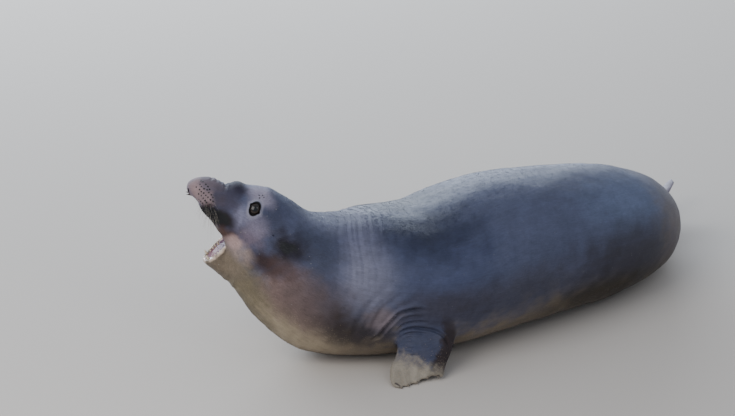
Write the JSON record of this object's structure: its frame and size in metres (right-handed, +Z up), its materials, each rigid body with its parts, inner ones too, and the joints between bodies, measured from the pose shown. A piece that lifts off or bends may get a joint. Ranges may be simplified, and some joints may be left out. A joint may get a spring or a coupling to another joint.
{
  "type": "elephant seal figure",
  "caption": "Life-size still figure of a young elephant seal bull, lying on its belly with its head raised and its mouth wide open.",
  "frame": {"origin": "on the floor, under the middle of the model's box", "axes": "+X towards the tail along the trunk, the head is at -X; -Y is the animal's left side; +Z up"},
  "size_m": [1.9092, 1.0072, 0.6058],
  "materials": {
    "back_coat": "short damp fur, slate blue-grey with a soft sheen",
    "face_coat": "short fur, lilac-grey, darker round the lips",
    "throat_coat": "short fur, olive brown, dusted with sand",
    "flipper_coat": "thin fur over leathery skin",
    "mouth": "wet, pale pink",
    "eyeball": "wet, nearly black"
  },
  "bodies": {
    "root": {"proboscis": "face_coat", "muzzle": "face_coat", "head": "face_coat", "lower_jaw": "throat_coat", "tongue": "mouth", "tail": "back_coat", "fore_flipper_left": "flipper_coat", "fore_flipper_right": "flipper_coat", "hind_flipper_left": "flipper_coat", "hind_flipper_right": "flipper_coat", "eye_left": "eyeball", "eye_right": "eyeball", "neck": "throat_coat", "throat_base": "throat_coat", "chest": "back_coat", "belly": "back_coat", "loin": "back_coat", "pelvis": "back_coat"}
  },
  "joints": []
}
